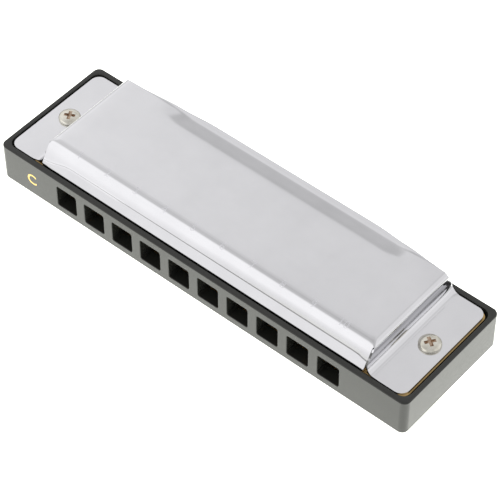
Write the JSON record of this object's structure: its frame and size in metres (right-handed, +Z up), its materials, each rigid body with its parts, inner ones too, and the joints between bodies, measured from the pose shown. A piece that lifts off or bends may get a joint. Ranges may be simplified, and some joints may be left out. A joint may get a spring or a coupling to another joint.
{
  "type": "diatonic harmonica",
  "caption": "Pocket harmonica: a black moulded comb with square mouth holes, brass reed plates with riveted reeds, and polished steel covers screwed on at both ends.",
  "frame": {"origin": "under the centre of the comb, on the flat outer face of the lower cover, which is the face the harmonica lies on", "axes": "+X along the row of holes from hole 1 (left, lowest notes) to hole 10; -Y is the mouth side and +Y the open rear; +Z up through the upper cover"},
  "size_m": [0.104, 0.0296, 0.0189],
  "materials": {
    "comb_plastic": "injection moulded, satin gloss",
    "cover_steel": "polished stamped sheet",
    "plate_brass": "rolled sheet, lightly brushed",
    "reed_brass": "milled strip, satin",
    "screw_steel": "nickel plated"
  },
  "bodies": {
    "root": {"comb": "comb_plastic", "upper_reed_plate": "plate_brass", "lower_reed_plate": "plate_brass", "upper_cover": "cover_steel", "lower_cover": "cover_steel", "cover_screw_left": "screw_steel", "cover_nut_left": "screw_steel", "cover_screw_right": "screw_steel", "cover_nut_right": "screw_steel", "upper_plate_screw_1": "screw_steel", "lower_plate_screw_1": "screw_steel", "upper_plate_screw_2": "screw_steel", "lower_plate_screw_2": "screw_steel", "upper_plate_screw_3": "screw_steel", "lower_plate_screw_3": "screw_steel", "upper_plate_screw_4": "screw_steel", "lower_plate_screw_4": "screw_steel", "upper_plate_screw_5": "screw_steel", "lower_plate_screw_5": "screw_steel", "blow_reed_heel_1": "reed_brass", "blow_reed_heel_2": "reed_brass", "blow_reed_heel_3": "reed_brass", "blow_reed_heel_4": "reed_brass", "blow_reed_heel_5": "reed_brass", "blow_reed_heel_6": "reed_brass", "blow_reed_heel_7": "reed_brass", "blow_reed_heel_8": "reed_brass", "blow_reed_heel_9": "reed_brass", "blow_reed_heel_10": "reed_brass", "draw_reed_heel_1": "reed_brass", "draw_reed_heel_2": "reed_brass", "draw_reed_heel_3": "reed_brass", "draw_reed_heel_4": "reed_brass", "draw_reed_heel_5": "reed_brass", "draw_reed_heel_6": "reed_brass", "draw_reed_heel_7": "reed_brass", "draw_reed_heel_8": "reed_brass", "draw_reed_heel_9": "reed_brass", "draw_reed_heel_10": "reed_brass"},
    "blow_reed_1": {"blow_reed_1": "reed_brass"},
    "blow_reed_2": {"blow_reed_2": "reed_brass"},
    "blow_reed_3": {"blow_reed_3": "reed_brass"},
    "blow_reed_4": {"blow_reed_4": "reed_brass"},
    "blow_reed_5": {"blow_reed_5": "reed_brass"},
    "blow_reed_6": {"blow_reed_6": "reed_brass"},
    "blow_reed_7": {"blow_reed_7": "reed_brass"},
    "blow_reed_8": {"blow_reed_8": "reed_brass"},
    "blow_reed_9": {"blow_reed_9": "reed_brass"},
    "blow_reed_10": {"blow_reed_10": "reed_brass"},
    "draw_reed_1": {"draw_reed_1": "reed_brass"},
    "draw_reed_2": {"draw_reed_2": "reed_brass"},
    "draw_reed_3": {"draw_reed_3": "reed_brass"},
    "draw_reed_4": {"draw_reed_4": "reed_brass"},
    "draw_reed_5": {"draw_reed_5": "reed_brass"},
    "draw_reed_6": {"draw_reed_6": "reed_brass"},
    "draw_reed_7": {"draw_reed_7": "reed_brass"},
    "draw_reed_8": {"draw_reed_8": "reed_brass"},
    "draw_reed_9": {"draw_reed_9": "reed_brass"},
    "draw_reed_10": {"draw_reed_10": "reed_brass"}
  },
  "joints": [
    {"name": "blow_reed_1_flex", "type": "hinge", "parent": "root", "child": "blow_reed_1", "pos_m": [-0.03375, -0.0089, 0.01217], "axis": [1, 0, 0], "range_deg": [-4, 4], "stiffness_Nm_per_rad": 0.0141},
    {"name": "blow_reed_2_flex", "type": "hinge", "parent": "root", "child": "blow_reed_2", "pos_m": [-0.02625, -0.0089, 0.01217], "axis": [1, 0, 0], "range_deg": [-4, 4], "stiffness_Nm_per_rad": 0.0186},
    {"name": "blow_reed_3_flex", "type": "hinge", "parent": "root", "child": "blow_reed_3", "pos_m": [-0.01875, -0.0089, 0.01217], "axis": [1, 0, 0], "range_deg": [-4, 4], "stiffness_Nm_per_rad": 0.0219},
    {"name": "blow_reed_4_flex", "type": "hinge", "parent": "root", "child": "blow_reed_4", "pos_m": [-0.01125, -0.0089, 0.01217], "axis": [1, 0, 0], "range_deg": [-4, 4], "stiffness_Nm_per_rad": 0.0325},
    {"name": "blow_reed_5_flex", "type": "hinge", "parent": "root", "child": "blow_reed_5", "pos_m": [-0.00375, -0.0089, 0.01217], "axis": [1, 0, 0], "range_deg": [-4, 4], "stiffness_Nm_per_rad": 0.0429},
    {"name": "blow_reed_6_flex", "type": "hinge", "parent": "root", "child": "blow_reed_6", "pos_m": [0.00375, -0.0089, 0.01217], "axis": [1, 0, 0], "range_deg": [-4, 4], "stiffness_Nm_per_rad": 0.0505},
    {"name": "blow_reed_7_flex", "type": "hinge", "parent": "root", "child": "blow_reed_7", "pos_m": [0.01125, -0.0089, 0.01217], "axis": [1, 0, 0], "range_deg": [-4, 4], "stiffness_Nm_per_rad": 0.0748},
    {"name": "blow_reed_8_flex", "type": "hinge", "parent": "root", "child": "blow_reed_8", "pos_m": [0.01875, -0.0089, 0.01217], "axis": [1, 0, 0], "range_deg": [-4, 4], "stiffness_Nm_per_rad": 0.0988},
    {"name": "blow_reed_9_flex", "type": "hinge", "parent": "root", "child": "blow_reed_9", "pos_m": [0.02625, -0.0089, 0.01217], "axis": [1, 0, 0], "range_deg": [-4, 4], "stiffness_Nm_per_rad": 0.116},
    {"name": "blow_reed_10_flex", "type": "hinge", "parent": "root", "child": "blow_reed_10", "pos_m": [0.03375, -0.0089, 0.01217], "axis": [1, 0, 0], "range_deg": [-4, 4], "stiffness_Nm_per_rad": 0.172},
    {"name": "draw_reed_1_flex", "type": "hinge", "parent": "root", "child": "draw_reed_1", "pos_m": [-0.03375, -0.0089, 0.00548], "axis": [1, 0, 0], "range_deg": [-4, 4], "stiffness_Nm_per_rad": 0.0178},
    {"name": "draw_reed_2_flex", "type": "hinge", "parent": "root", "child": "draw_reed_2", "pos_m": [-0.02625, -0.0089, 0.00548], "axis": [1, 0, 0], "range_deg": [-4, 4], "stiffness_Nm_per_rad": 0.0263},
    {"name": "draw_reed_3_flex", "type": "hinge", "parent": "root", "child": "draw_reed_3", "pos_m": [-0.01875, -0.0089, 0.00548], "axis": [1, 0, 0], "range_deg": [-4, 4], "stiffness_Nm_per_rad": 0.0348},
    {"name": "draw_reed_4_flex", "type": "hinge", "parent": "root", "child": "draw_reed_4", "pos_m": [-0.01125, -0.0089, 0.00548], "axis": [1, 0, 0], "range_deg": [-4, 4], "stiffness_Nm_per_rad": 0.0409},
    {"name": "draw_reed_5_flex", "type": "hinge", "parent": "root", "child": "draw_reed_5", "pos_m": [-0.00375, -0.0089, 0.00548], "axis": [1, 0, 0], "range_deg": [-4, 4], "stiffness_Nm_per_rad": 0.0481},
    {"name": "draw_reed_6_flex", "type": "hinge", "parent": "root", "child": "draw_reed_6", "pos_m": [0.00375, -0.0089, 0.00548], "axis": [1, 0, 0], "range_deg": [-4, 4], "stiffness_Nm_per_rad": 0.0636},
    {"name": "draw_reed_7_flex", "type": "hinge", "parent": "root", "child": "draw_reed_7", "pos_m": [0.01125, -0.0089, 0.00548], "axis": [1, 0, 0], "range_deg": [-4, 4], "stiffness_Nm_per_rad": 0.0666},
    {"name": "draw_reed_8_flex", "type": "hinge", "parent": "root", "child": "draw_reed_8", "pos_m": [0.01875, -0.0089, 0.00548], "axis": [1, 0, 0], "range_deg": [-4, 4], "stiffness_Nm_per_rad": 0.0784},
    {"name": "draw_reed_9_flex", "type": "hinge", "parent": "root", "child": "draw_reed_9", "pos_m": [0.02625, -0.0089, 0.00548], "axis": [1, 0, 0], "range_deg": [-4, 4], "stiffness_Nm_per_rad": 0.0922},
    {"name": "draw_reed_10_flex", "type": "hinge", "parent": "root", "child": "draw_reed_10", "pos_m": [0.03375, -0.0089, 0.00548], "axis": [1, 0, 0], "range_deg": [-4, 4], "stiffness_Nm_per_rad": 0.122}
  ]
}
